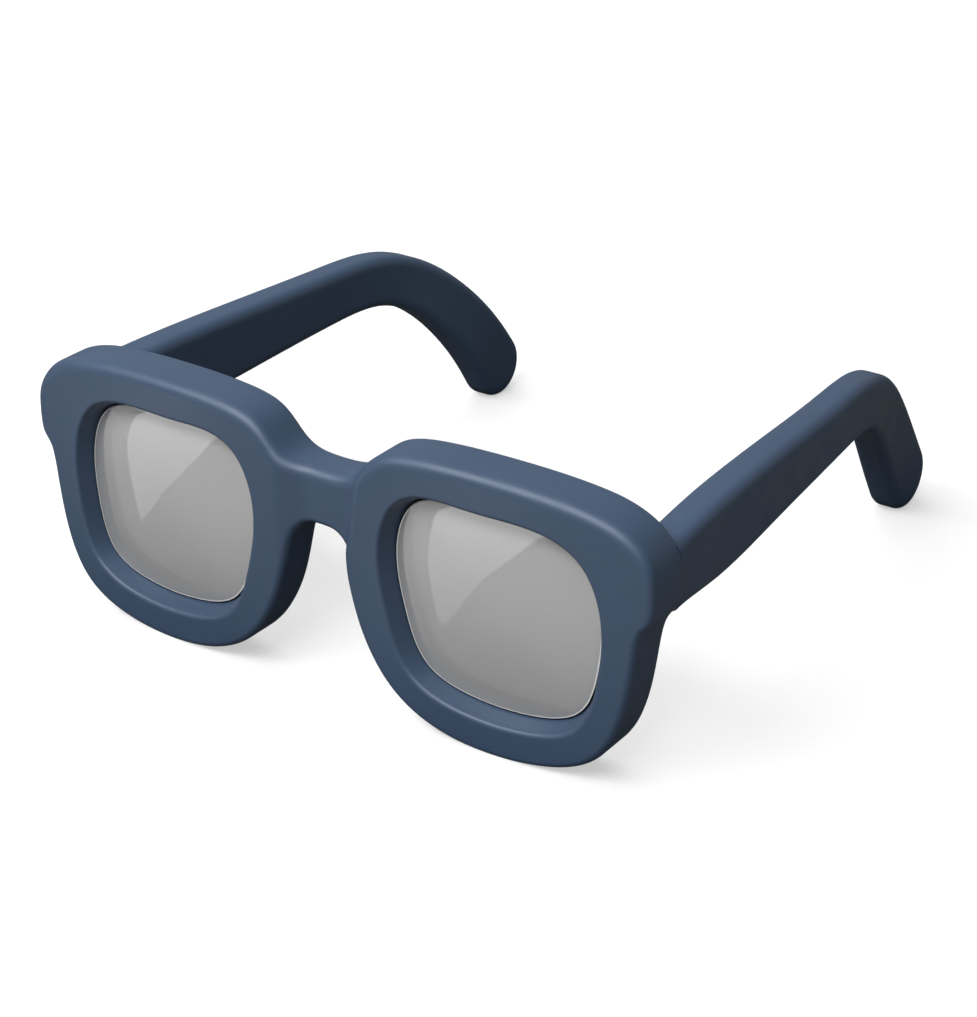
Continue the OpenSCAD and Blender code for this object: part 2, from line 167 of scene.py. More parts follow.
BOX_FACES: list[Face] = [(0, 1, 3, 2), (4, 6, 7, 5), (0, 4, 5, 1), (2, 3, 7, 6), (0, 2, 6, 4), (1, 5, 7, 3)]


def carve(thing: bpy.types.Object, cutters: Sequence[Sequence[Point]]) -> None:
    """Cuts box-shaped pockets into an object.

    Args:
        thing: The object to cut.
        cutters: The eight corners of each pocket, in millimetres.
    """
    tools = []
    for corners in cutters:
        tool = make_object(f"{thing.name}.pocket{len(tools)}", corners, BOX_FACES)
        tidy_mesh(tool.data, False, Shading.CRISP)
        cut = thing.modifiers.new("pocket", "BOOLEAN")
        cut.operation = "DIFFERENCE"
        cut.solver = "EXACT"
        cut.object = tool
        tools.append(tool)
    bake_modifiers(thing)
    for tool in tools:
        bpy.data.objects.remove(tool)


def strip_faces(rings: int, per: int, closed: bool) -> list[Face]:
    """Quads between neighbouring rings of points.

    Args:
        rings: How many rings there are.
        per: Points in a ring, joined round.
        closed: Whether the last ring joins the first.

    Returns:
        The faces.
    """
    faces: list[Face] = []
    for i in range(rings if closed else rings - 1):
        for j in range(per):
            a, b = i * per, ((i + 1) % rings) * per
            k = (j + 1) % per
            faces.append((a + j, b + j, b + k, a + k))
    return faces


# ---- Splines and the outlines they carry ----


@dataclass(frozen=True)
class SplineRows:
    """Uniform cubic spline over rows of numbers. Its first and last rows lie just beyond its ends."""

    rows: np.ndarray

    def _mix(self, t: float, weights: Callable[[float], tuple[float, ...]]) -> Point:
        """The four rows round t, added up by their weights."""
        first = min(int(math.floor(t)), len(self.rows) - 4)
        return np.array(weights(t - first)) @ self.rows[first : first + 4]

    def value(self, t: float) -> Point:
        """The row at t."""
        return self._mix(t, lambda u: (
            (1 - u) ** 3 / 6, (3 * u**3 - 6 * u * u + 4) / 6, (-3 * u**3 + 3 * u * u + 3 * u + 1) / 6, u**3 / 6))

    def slope(self, t: float) -> Point:
        """How fast the row changes at t."""
        return self._mix(t, lambda u: (
            -((1 - u) ** 2) / 2, (9 * u * u - 12 * u) / 6, (-9 * u * u + 6 * u + 3) / 6, u * u / 2))

    def bend(self, t: float) -> Point:
        """How fast the slope changes at t."""
        return self._mix(t, lambda u: (1 - u, 3 * u - 2, 1 - 3 * u, u))


@dataclass(frozen=True)
class LensOutline:
    """The visible edge of the lens: a closed spline through reaches at even angles round its middle."""

    spacing: float = 77.0
    middle: float = 28.2
    reaches: tuple[float, ...] = (21.6, 23.6, 19.1, 18.4, 27.4, 24.7, 21.9, 24.8, 21.0, 21.1, 25, 20.8)
    path: SplineRows = field(init=False)

    def __post_init__(self) -> None:
        """Places the spline's rows."""
        count = len(self.reaches)
        turns = np.radians([(k + 0.5) * 360 / count for k in range(count)])
        ring = [self.centre + r * np.array([math.cos(a), math.sin(a)]) for r, a in zip(self.reaches, turns)]
        object.__setattr__(self, "path", SplineRows(np.array(ring + ring[:3])))

    @property
    def centre(self) -> Point:
        """The middle of the left lens, x and z."""
        return np.array([self.spacing / 2, self.middle])

    def edge(self, angle: float, out: float = 0.0) -> Point:
        """A point on the outline, or out millimetres outside it.

        Args:
            angle: Degrees round the lens, from the outer side over the top.
            out: Distance outwards.

        Returns:
            x and z.
        """
        count = len(self.reaches)
        t = (angle * count / 360 - 1.5) % count
        slope = self.path.slope(t)
        return self.path.value(t) + out * np.array([slope[1], -slope[0]]) / np.hypot(*slope)


def smooth_step(share: float) -> float:
    """Eases from 0 to 1."""
    s = max(0.0, min(1.0, share))
    return s * s * (3 - 2 * s)


@dataclass(frozen=True)
class FrontPlan:
    """The moulded front seen from above, and the places that other pieces take from it."""

    half_width: float = 70.0
    depth: float = 11.0
    wrap: float = 1.16  # its curvature, per metre
    bridge_set_back: float = 2.0
    bridge_ends: tuple[Span, Span] = ((-9.4, -2.2), (5.6, 8.0))
    bridge_low: float = 27.0
    bridge_lean: float = 0.15
    nose_half_gap: float = 5.6
    temple_reach: float = 141.5
    past_tips: float = 0.25
    butt_gap: float = 0.3
    level_back: float = 12.0
    drawn_butt: float = 13.3
    drawn_reach: float = 141.5
    toe_row: float = 30.5
    toe_in: float = 1.5

    @property
    def plane(self) -> float:
        """y of the foremost point of the rims."""
        return -(self.temple_reach + self.past_tips) / 2

    def wrap_y(self, x: float) -> float:
        """y of the front plane, which wraps round the face."""
        return self.plane + self.wrap * x * x / 2000

    def bridge_step(self, x: float, z: float) -> float:
        """How far the face stands back at the bridge: long on the wearer's right, short on the left."""
        (start, settled), (leaves, end) = self.bridge_ends
        lean = self.bridge_lean * max(0.0, z - self.bridge_low)
        roll = max(0.0, min(1.0, (end + lean - x) / (end - leaves)))
        share = smooth_step((x - start) / (settled - start))
        return self.bridge_set_back * share * (1 - math.sqrt(1 - roll * roll))

    def back_y(self, x: float) -> float:
        """y of the back face, level past the hinge."""
        return self.depth + self.wrap_y(min(abs(x), self.half_width - self.level_back))

    def behind(self, place: Point, deep: float) -> Point:
        """The point at x and z that lies deep behind the front plane."""
        return np.array([place[0], self.wrap_y(place[0]) + deep, place[1]])

    @property
    def endpiece_back(self) -> float:
        """y of the back of the endpiece."""
        return self.back_y(self.half_width)

    @property
    def butt(self) -> float:
        """y of the end of the open temple."""
        return self.endpiece_back + self.butt_gap

    def along(self, y: float) -> float:
        """y in the open temple of a place y behind the front, stretched with the reach."""
        return self.butt + (y - self.drawn_butt) * self.temple_reach / self.drawn_reach


# ---- Node trees and finishes ----


class NodeWork:
    """A node tree in the making."""

    def __init__(self, tree: bpy.types.NodeTree) -> None:
        """Takes on the tree."""
        self.tree = tree

    def node(self, kind: str, given: Mapping[str, Source] | None = None, **settings: str) -> bpy.types.Node:
        """Adds a node.

        Args:
            kind: The node's type.
            given: Values and sockets for its inputs, by name.
            settings: Attributes of the node.

        Returns:
            The node.
        """
        made = self.tree.nodes.new(kind)
        for key, value in settings.items():
            setattr(made, key, value)
        for key, value in (given or {}).items():
            self.feed(made.inputs[key], value)
        return made

    def link(self, start: Socket, end: Socket) -> None:
        """Joins two sockets."""
        self.tree.links.new(start, end)

    def feed(self, end: Socket, value: Source) -> None:
        """Joins an input to a socket, or sets it to a value."""
        if isinstance(value, Socket):
            self.link(value, end)
        else:
            end.default_value = value

    def sum_up(self, kind: str, first: Source, second: Source = 0.0) -> Socket:
        """One step of arithmetic.

        Args:
            kind: The operation, as the Math node names it.
            first: First number or socket.
            second: Second number or socket.

        Returns:
            The result's socket.
        """
        made = self.node("ShaderNodeMath", operation=kind)
        self.feed(made.inputs[0], first)
        self.feed(made.inputs[1], second)
        return made.outputs["Value"]

    def sum_vectors(self, kind: str, *given: Source) -> Socket:
        """One step of vector arithmetic. Its result is a number or a vector."""
        made = self.node("ShaderNodeVectorMath", operation=kind)
        for socket, value in zip(made.inputs, given):
            self.feed(socket, value)
        return next(socket for socket in made.outputs if socket.enabled)

    def remap(self, value: Socket, source: Span = (0.0, 1.0), target: Sequence[Source] = (0.0, 1.0),
              smooth: bool = False) -> Socket:
        """Maps one range of values to another.

        Args:
            value: What is mapped.
            source: The range that it comes from.
            target: The range that it goes to.
            smooth: Whether it eases in and out.

        Returns:
            The result's socket.
        """
        given = dict(zip(("Value", "From Min", "From Max", "To Min", "To Max"), (value, *source, *target)))
        kind = "SMOOTHSTEP" if smooth else "LINEAR"
        return self.node("ShaderNodeMapRange", given, interpolation_type=kind).outputs["Result"]


@dataclass(frozen=True)
class Pattern:
    """A cloudy pattern: how many clouds a metre holds, and how much finer structure they have."""

    per_metre: float
    detail: float


class Finish(NodeWork):
    """A material in the making: its node tree and the output that ends it."""

    MIDDLE_RANGE = (0.3, 0.7)

    def __init__(self, name: str) -> None:
        """Starts an empty material with that name and an output."""
        self.material = bpy.data.materials.new(name)
        self.material.use_nodes = True
        super().__init__(self.material.node_tree)
        self.tree.nodes.clear()
        self.output = self.node("ShaderNodeOutputMaterial")

    def show(self, surface: Socket) -> bpy.types.Material:
        """Ends the tree with its surface and hands over the material."""
        self.link(surface, self.output.inputs["Surface"])
        return self.material

    def shader(self, given: Mapping[str, Source]) -> bpy.types.Material:
        """Ends the tree with the main shader, given its inputs, and hands over the material."""
        return self.show(self.node("ShaderNodeBsdfPrincipled", given).outputs["BSDF"])

    def place(self, scale: Triple = (1.0, 1.0, 1.0)) -> Socket:
        """Object coordinates, made finer by scale along each axis."""
        where = self.node("ShaderNodeTexCoord").outputs["Object"]
        return self.node("ShaderNodeMapping", {"Scale": scale, "Vector": where}).outputs["Vector"]

    def height(self) -> Socket:
        """Height of the shaded point, in metres."""
        return self.node("ShaderNodeSeparateXYZ", {"Vector": self.place()}).outputs["Z"]

    def noise(self, pattern: Pattern, where: Socket, low: float = 0.0, high: float = 1.0) -> Socket:
        """A cloudy pattern at those coordinates, its middle range spread over low to high."""
        return self.remap(self.relief(pattern, where), self.MIDDLE_RANGE, (low, high))

    def relief(self, pattern: Pattern, where: Socket) -> Socket:
        """The same cloudy pattern as it comes."""
        given = {"Scale": pattern.per_metre, "Detail": pattern.detail, "Vector": where}
        return self.node("ShaderNodeTexNoise", given).outputs["Fac"]

    def blend(self, factor: Socket, first: Triple, second: Triple) -> Socket:
        """A colour between two.

        Args:
            factor: 0 for the first colour and 1 for the second.
            first: Colour, linear.
            second: Colour, linear.

        Returns:
            The colour socket.
        """
        made = self.node("ShaderNodeMix", data_type="RGBA")
        colours = [socket for socket in made.inputs if socket.type == "RGBA"]
        for socket, value in zip(colours, (first, second)):
            socket.default_value = (*value, 1.0)
        self.link(factor, made.inputs[0])
        return next(socket for socket in made.outputs if socket.type == "RGBA")

    def bump(self, height: Socket, strength: float, distance: float) -> Socket:
        """Relief from a pattern, by how much of it shows and its depth in metres."""
        given = {"Strength": strength, "Distance": distance, "Height": height}
        return self.node("ShaderNodeBump", given).outputs["Normal"]


@dataclass(frozen=True)
class MottledFinish:
    """A surface whose colour, gloss and relief change a little from place to place."""

    name: str
    colour: Triple
    deeper: Triple
    tint: Pattern
    values: Mapping[str, float]
    gloss: Pattern | None = None
    roughness: Span = (0.0, 1.0)
    grain: Pattern | None = None
    grain_strength: float = 0.0
    grain_depth: float = 0.00001
    stretch: Triple = (1.0, 1.0, 1.0)

    def material(self) -> bpy.types.Material:
        """Makes the material."""
        work = Finish(self.name)
        where = work.place(self.stretch)
        given = {**self.values, "Base Color": work.blend(work.noise(self.tint, where), self.deeper, self.colour)}
        if self.gloss is not None:
            given["Roughness"] = work.noise(self.gloss, where, *self.roughness)
        if self.grain is not None:
            given["Normal"] = work.bump(work.relief(self.grain, where), self.grain_strength, self.grain_depth)
        return work.shader(given)


NAVY_PLASTIC = MottledFinish(
    name="matte_navy_plastic",
    colour=(0.035, 0.063, 0.112),
    deeper=(0.032, 0.057, 0.103),
    tint=Pattern(28.0, 3.0),
    values={"Specular IOR Level": 0.45, "IOR": 1.49},
    gloss=Pattern(140.0, 4.0),
    roughness=(0.37, 0.46),
    grain=Pattern(2600.0, 2.0),
    grain_strength=0.35,
    grain_depth=0.00002,
)
# Partly painted highlight: the frosted ground edge is made pale so that the bevel round each lens shows as a
# bright line.
GROUND_EDGE_AND_HIGHLIGHT = MottledFinish(
    name="ground_lens_edge",
    colour=(0.74, 0.73, 0.71),
    deeper=(0.66, 0.65, 0.63),
    tint=Pattern(5000.0, 2.0),
    values={"Roughness": 0.35, "IOR": 1.5},
    grain=Pattern(5000.0, 2.0),
    grain_strength=0.2,
)
# Painted shade: a near-black material that stands in for the shade in the narrow gap round each lens.
PAINTED_GAP_SHADE = MottledFinish(
    name="black_seat_line",
    colour=(0.004, 0.005, 0.008),
    deeper=(0.002, 0.003, 0.005),
    tint=Pattern(900.0, 2.0),
    values={"Roughness": 0.7, "Specular IOR Level": 0.2},
)
HINGE_STEEL = MottledFinish(
    name="brushed_hinge_steel",
    colour=(0.60, 0.61, 0.62),
    deeper=(0.46, 0.47, 0.49),
    tint=Pattern(900.0, 4.0),
    values={"Metallic": 1.0},
    gloss=Pattern(900.0, 4.0),
    roughness=(0.24, 0.38),
    grain=Pattern(900.0, 4.0),
    grain_strength=0.15,
    stretch=(1.0, 1.0, 14.0),
)


@dataclass(frozen=True)
class TintedLens:
    """Smoke grey lens, painted lighter towards the bottom to offset the shade there, with a little light passing
    through.
    """

    name: str = "smoke_grey_lens"
    # Painted light: the colour at the top, and the lighter colour at the bottom, eased between these heights in
    # metres.
    top: Triple = (0.455, 0.455, 0.455)
    bottom: Triple = (0.48, 0.48, 0.48)
    heights: Span = (0.008, 0.046)
    index: float = 1.5
    specular: float = 1.0
    transmission: float = 0.33
    mirror: float = 0.25
    haze: Pattern = Pattern(60.0, 2.0)
    roughness: Span = (0.03, 0.06)

    def material(self) -> bpy.types.Material:
        """Makes the material."""
        work = Finish(self.name)
        # Painted light: the lens grows lighter towards the bottom to offset the shade on its lower part.
        rise = work.remap(work.height(), self.heights, smooth=True)
        return work.shader({
            "IOR": self.index,
            "Specular IOR Level": self.specular,
            "Metallic": self.mirror,
            "Transmission Weight": self.transmission,
            "Base Color": work.blend(rise, self.bottom, self.top),
            "Roughness": work.noise(self.haze, work.place(), *self.roughness),
        })


@dataclass(frozen=True)
class StudioPaper:
    """The pale floor. It keeps shadows, and is white to the camera and through glass.

    In gloss it carries painted shade: dark under the object, and rising with the distance to the front and to the
    left.
    """

    name: str = "pale_studio_floor"
    seen_albedo: float = 0.95
    shade_albedo: float = 0.16
    # Painted shade: the floor's darkest level for glossy rays, under the object.
    gloss_albedo: float = 0.05
    white_share: float = 0.5
    front: Triple = (0.0, -1.0, 0.0)
    front_fade: Span = (0.06, 0.13)
    front_level: float = 0.38
    left: Triple = (1.0, 0.0, 0.0)
    left_fade: Span = (0.05, 0.09)
    left_level: float = 0.07
    open_floor: Span = (0.25, 0.55)

    def fade(self, work: Finish, way: Triple, limits: Span, level: float) -> Socket:
        """Painted shade in gloss: rises to a level along a direction of the floor, between two limits in metres.
        """
        return work.remap(work.sum_vectors("DOT_PRODUCT", work.place(), way), limits, (0.0, level), smooth=True)

    def material(self) -> bpy.types.Material:
        """Makes the material, part of which shines for rays that show it directly."""
        work = Finish(self.name)
        path = work.node("ShaderNodeLightPath").outputs
        direct = work.sum_up("MAXIMUM", path["Is Camera Ray"], path["Is Transmission Ray"])
        # Painted shade for glossy rays: the floor is dark round the object and lighter further out.
        around = work.sum_up(
            "MAXIMUM",
            self.fade(work, self.front, self.front_fade, self.front_level),
            self.fade(work, self.left, self.left_fade, self.left_level))
        seen = work.sum_up("MAXIMUM", direct, work.sum_up("MULTIPLY", path["Is Glossy Ray"], around))
        unseen = work.remap(path["Is Glossy Ray"], target=(self.shade_albedo, self.gloss_albedo))
        paper = work.node("ShaderNodeBsdfDiffuse", {"Color": work.remap(seen, target=(unseen, self.seen_albedo))})
        away = work.remap(work.sum_vectors("LENGTH", work.place()), self.open_floor, smooth=True)
        beyond = work.sum_up("MULTIPLY", direct, away)
        white = work.sum_up("MAXIMUM", work.sum_up("MULTIPLY", seen, self.white_share), beyond)
        glow = work.node("ShaderNodeEmission", {"Strength": 1.0})
        mix = work.node("ShaderNodeMixShader")
        for end, start in zip(mix.inputs, (white, paper.outputs["BSDF"], glow.outputs["Emission"])):
            work.link(start, end)
        return work.show(mix.outputs["Shader"])


# ---- Node trees that place and shape repeated and swept pieces ----


class ShapeTree(NodeWork):
    """A geometry node tree with named inputs, ended by Realize Instances and Set Material."""

    def __init__(self, name: str) -> None:
        """Starts the tree with a geometry coming in and one going out."""
        super().__init__(bpy.data.node_groups.new(name, "GeometryNodeTree"))
        self.sockets: dict[str, str] = {}
        for way in ("INPUT", "OUTPUT"):
            self.tree.interface.new_socket("Geometry", in_out=way, socket_type="NodeSocketGeometry")
        self.add_input("Material", "NodeSocketMaterial")
        self.start = self.node("NodeGroupInput")
        self.end = self.node("NodeGroupOutput")

    def add_input(self, name: str, kind: str) -> None:
        """Adds a named input."""
        made = self.tree.interface.new_socket(name, in_out="INPUT", socket_type=kind)
        self.sockets[name] = made.identifier

    def given(self, name: str) -> Socket:
        """The socket that a named input comes in by."""
        return self.start.outputs[name]

    def attribute(self, name: str, kind: str = "FLOAT") -> Socket:
        """A number or vector kept on each point under that name."""
        return self.node("GeometryNodeInputNamedAttribute", {"Name": name}, data_type=kind).outputs["Attribute"]

    def close(self, geometry: Socket) -> None:
        """Ends the tree with the geometry made real and dressed."""
        real = self.node("GeometryNodeRealizeInstances", {"Geometry": geometry}).outputs["Geometry"]
        dress = self.node("GeometryNodeSetMaterial", {"Geometry": real, "Material": self.given("Material")})
        self.link(dress.outputs["Geometry"], self.end.inputs["Geometry"])

    def apply(self, thing: bpy.types.Object, **values: object) -> None:
        """Runs the tree on an object and keeps the result as its plain mesh.

        Args:
            thing: The object that carries the input geometry.
            values: The inputs by name, with _ for each space.
        """
        modifier = thing.modifiers.new(self.tree.name, "NODES")
        modifier.node_group = self.tree
        for key, value in values.items():
            modifier[self.sockets[key.replace("_", " ")]] = value
        bake_modifiers(thing)


def bar_tree() -> ShapeTree:
    """The rule of the temple's bar: a rectangle with rounded long edges at every ring."""
    work = ShapeTree("rounded_bar")
    work.add_input("Edge Radius", "NodeSocketFloat")
    radius, turn = work.given("Edge Radius"), work.attribute("turn")
    thick = work.sum_up("SUBTRACT", work.attribute("half_thick"), radius)
    across = work.sum_up("ADD", thick, work.sum_up("MULTIPLY", radius, work.sum_up("COSINE", turn)))
    flank = work.node("ShaderNodeCombineXYZ", {"X": work.sum_up("MULTIPLY", across, work.attribute("side"))})
    high = work.sum_up("SUBTRACT", work.attribute("half_high"), radius)
    straight = work.sum_up("MULTIPLY", high, work.attribute("share"))
    rise = work.sum_up("ADD", straight, work.sum_up("MULTIPLY", radius, work.sum_up("SINE", turn)))
    high_way = work.attribute("high_way", "FLOAT_VECTOR")
    lift = work.node("ShaderNodeVectorMath", {"Vector": high_way, "Scale": rise}, operation="SCALE")
    total = work.sum_vectors("ADD", work.attribute("centre", "FLOAT_VECTOR"), flank.outputs["Vector"])
    place = work.sum_vectors("ADD", total, lift.outputs["Vector"])
    move = work.node("GeometryNodeSetPosition", {"Geometry": work.given("Geometry"), "Position": place})
    work.close(move.outputs["Geometry"])
    return work


def swept_line_tree() -> ShapeTree:
    """The rule of a round line swept along a loop of edges."""
    work = ShapeTree("swept_line")
    work.add_input("Radius", "NodeSocketFloat")
    work.add_input("Sides", "NodeSocketInt")
    path = work.node("GeometryNodeMeshToCurve", {"Mesh": work.given("Geometry")}).outputs["Curve"]
    round_line = {"Resolution": work.given("Sides"), "Radius": work.given("Radius")}
    circle = work.node("GeometryNodeCurvePrimitiveCircle", round_line).outputs["Curve"]
    work.close(work.node("GeometryNodeCurveToMesh", {"Curve": path, "Profile Curve": circle}).outputs["Mesh"])
    return work


def fastener_tree() -> ShapeTree:
    """The rule of one fastener repeated at every point, turned by the point's own angle."""
    work = ShapeTree("fasteners")
    work.add_input("Fastener", "NodeSocketObject")
    source = work.node("GeometryNodeObjectInfo", {"Object": work.given("Fastener")}, transform_space="ORIGINAL")
    spread = work.node("GeometryNodeInstanceOnPoints", {
        "Points": work.given("Geometry"),
        "Instance": source.outputs["Geometry"],
        "Rotation": work.attribute("facing", "FLOAT_VECTOR"),
    })
    work.close(spread.outputs["Instances"])
    return work


# ---- The moulded front ----


@dataclass
class FrontMoulding:
    """The one-piece front: two thick rims, the bridge and the endpieces."""

    plan: FrontPlan
    outline: LensOutline
    brow_height: float = 55.3
    front_edge: float = 2.4
    side_edge: float = 1.3
    edge_turn: float = 0.1
    edge_ease: float = 0.7
    back_edge: float = 2.0
    bridge_top: float = 45.8
    bridge_under: float = 34.8
    endpiece_bottom: float = 34.0
    sharp_back: float = 0.3
    wall_flare: float = 1.05
    wall_start: float = 1.3
    opening_edge: float = 1.0
    back_flare: float = 0.3
    back_opening: float = 0.8
    bevel_front: float = 4.2
    bevel_middle: float = 4.8
    bevel_back: float = 5.4
    groove_depth: float = 1.1
    steps: int = 10
    bridge_steps: int = 9
    face_stops: int = 44
    roll_stops: int = 11
    back_stops: int = 4
    wall_stops: int = 4
    roll_back_stops: int = 8
    opening_stops: int = 8
    back_roll_stops: int = 6
    least_bend: float = 0.001
    bend_share: float = 0.8
    no_limit: float = 1000.0

    def __post_init__(self) -> None:
        """Lays out the half outline as a spline: x, z, lens angle and back radius in each row."""
        wide, gap, brow = self.plan.half_width, self.plan.nose_half_gap, self.brow_height
        side, base, soft = wide - 3.3, self.endpiece_bottom, self.back_edge
        nose = soft + 1.3
        rows = [
            [0, self.bridge_top, 150, soft],
            [gap + 0.4, self.bridge_top + 0.2, 147.5, soft],
            [gap + 3.8, self.bridge_top + 2.5, 142, soft],
            [gap + 7.9, brow - 1.7, 131, soft],
            [wide - 48, brow - 0.2, 118, soft],
            [wide - 34, brow + 0.1, 95, soft],
            [wide - 18.5, brow - 0.5, 66, soft],
            [wide - 6, brow - 2.8, 46, soft],
            [wide - 0.2, brow - 8.7, 30, 0.6 * soft],
            [wide, base + 5.4, 18, self.sharp_back],
            [wide - 0.2, base + 1.1, 11.5, self.sharp_back],
            [side + 0.8, base - 0.7, 6.5, self.sharp_back],
            [side + 0.1, base - 4.2, 1, soft],
            [side - 1.2, 16.6, -20, soft],
            [side - 5.7, 5, -45, soft],
            [side - 16.3, 0.5, -67, soft],
            [side - 28.7, -0.6, -90, soft],
            [side - 40.7, 0.7, -113, soft],
            [gap + 10, 6.3, -136, nose],
            [gap + 3.8, 17, -160, nose],
            [gap + 1.5, 27, -180, nose],
            [gap + 0.5, self.bridge_under - 2.9, -194, nose],
            [gap - 2.0, self.bridge_under, -201.5, nose],
            [0, self.bridge_under, -204, nose],
        ]
        first = [-rows[1][0], rows[1][1], 2 * rows[0][2] - rows[1][2], rows[1][3]]
        final = [-rows[-2][0], rows[-2][1], 2 * rows[-1][2] - rows[-2][2], rows[-2][3]]
        self.spans = len(rows) - 1
        self.first_angle, self.last_angle = rows[0][2] - 360, rows[-1][2]
        self.path = SplineRows(np.array([first, *rows, final], dtype=float))

    def room(self, t: float) -> float:
        """The largest edge radius that fits in the outline's bend at t."""
        s, b = self.path.slope(t), self.path.bend(t)
        tight = (s[1] * b[0] - s[0] * b[1]) / np.hypot(s[0], s[1]) ** 3
        return self.bend_share / tight if tight > self.least_bend else self.no_limit

    def outer_points(self, t: float) -> list[Point]:
        """The outer wall at t, from the front face round to the back face.

        Args:
            t: Place along the outline, in rows.

        Returns:
            The points of both rolled edges.
        """
        row, slope = self.path.value(t), self.path.slope(t)
        point = row[:2]
        outward = np.array([-slope[1], slope[0]]) / np.hypot(slope[0], slope[1])
        upward = smooth_step((float(outward[1]) - self.edge_turn) / self.edge_ease)
        front = self.side_edge + (self.front_edge - self.side_edge) * upward
        front, back = min(front, self.room(t)), min(row[3], self.room(t))
        points = []
        for a in np.radians(np.linspace(0, 90, self.roll_stops)):
            x, z = point - outward * front * (1 - math.sin(a))
            points.append(self.plan.behind((x, z), front * (1 - math.cos(a))))
        for a in np.radians(np.linspace(90, 0, self.roll_back_stops)):
            x, z = point - outward * back * (1 - math.sin(a))
            points.append(np.array([x, self.plan.back_y(x) - back * (1 - math.cos(a)), z]))
        return points

    def wall_point(self, angle: float, out: float, deep: float) -> Point:
        """A point of the lens opening, out from the lens edge and deep behind the front plane."""
        return self.plan.behind(self.outline.edge(angle, out), deep)

    def opening_points(self, angle: float) -> list[Point]:
        """The front edge of the opening at an angle round the lens, from the face inwards.

        Args:
            angle: Degrees round the lens.

        Returns:
            Points rolled from the face into the sloping wall.
        """
        slant = math.atan2(self.wall_flare, self.bevel_front - self.wall_start)
        corner = self.wall_flare + self.wall_start * math.tan(slant)
        middle = corner + self.opening_edge * math.tan((math.pi / 2 - slant) / 2)
        return [
            self.wall_point(angle, middle - self.opening_edge * math.sin(a), self.opening_edge * (1 - math.cos(a)))
            for a in np.linspace(0, math.pi / 2 - slant, self.opening_stops)
        ]

    def section(self, angle: float, outer: list[Point]) -> list[Point]:
        """One closed cross-section of the rim.

        Args:
            angle: Degrees round the lens.
            outer: The outer wall there.

        Returns:
            Points from the front of the opening over the face and the back into the groove.
        """
        opening = self.opening_points(angle)
        rim = opening[0]
        shares = np.linspace(0, 1, self.face_stops + 1)[1:-1]
        face = [self.plan.behind((1 - s) * rim[[0, 2]] + s * outer[0][[0, 2]], 0.0) for s in shares]
        points = [rim, *face, *outer]
        inner = []
        for a in np.radians(np.linspace(0, 90, self.back_roll_stops)):
            x, z = self.outline.edge(angle, self.back_flare + self.back_opening * (1 - math.sin(a)))
            inner.append(np.array([x, self.plan.back_y(x) - self.back_opening * (1 - math.cos(a)), z]))
        for share in np.linspace(0, 1, self.back_stops + 2)[1:-1]:
            x, z = (1 - share) * outer[-1][[0, 2]] + share * inner[0][[0, 2]]
            points.append(np.array([x, self.plan.back_y(x), z]))
        points += inner
        points.append(self.wall_point(angle, 0, self.bevel_back))
        points.append(self.wall_point(angle, self.groove_depth, self.bevel_middle))
        seat = self.wall_point(angle, 0, self.bevel_front)
        for share in np.linspace(0, 1, self.wall_stops + 1)[:-1]:
            points.append((1 - share) * seat + share * opening[-1])
        points += opening[:0:-1]
        return points

    def build(self, finish: bpy.types.Material) -> bpy.types.Object:
        """Builds, carves and dresses the front.

        Args:
            finish: The plastic.

        Returns:
            The finished piece, riding on the front.
        """
        count = self.spans * self.steps
        walls = [self.outer_points(i / self.steps) for i in range(count + 1)]
        angles = [float(self.path.value(i / self.steps)[2]) for i in range(count + 1)]
        for k in range(1, self.bridge_steps + 1):
            share = k / (self.bridge_steps + 1)
            walls.append([(1 - share) * a + share * b for a, b in zip(walls[count], walls[0])])
            angles.append((1 - share) * self.last_angle + share * self.first_angle)
        sections = [self.section(a, w) for a, w in zip(angles, walls)]
        per, stations = len(sections[0]), len(sections)
        first_outer = self.face_stops
        last_outer = first_outer + len(walls[0]) - 1
        half = np.array([p for s in sections for p in s])
        half[:, 2] = np.maximum(half[:, 2], 0.0)
        faces = [
            quad for number, quad in enumerate(strip_faces(stations, per, True))
            if number // per < count or not first_outer <= number % per < last_outer
        ]
        mirrored = half * Side.RIGHT.flip
        for side in (half, mirrored):
            for i in range(stations):
                for point in side[i * per : i * per + first_outer + self.roll_stops]:
                    point[1] += self.plan.bridge_step(point[0], point[2])
        other = [tuple(len(half) + n for n in reversed(f)) for f in faces]
        front = make_object("moulded_front", np.vstack([half, mirrored]), faces + other)
        tidy_mesh(front.data, True, Shading.SOFT)
        pocket = HingeSizes(self.plan).front_pocket()
        carve(front, [[p * side.flip for p in pocket] for side in Side])
        tidy_mesh(front.data, False, Shading.CRISP)
        wear(front, finish)
        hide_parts("front_frame")
        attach(front, "front")
        return front


# ---- Lenses ----


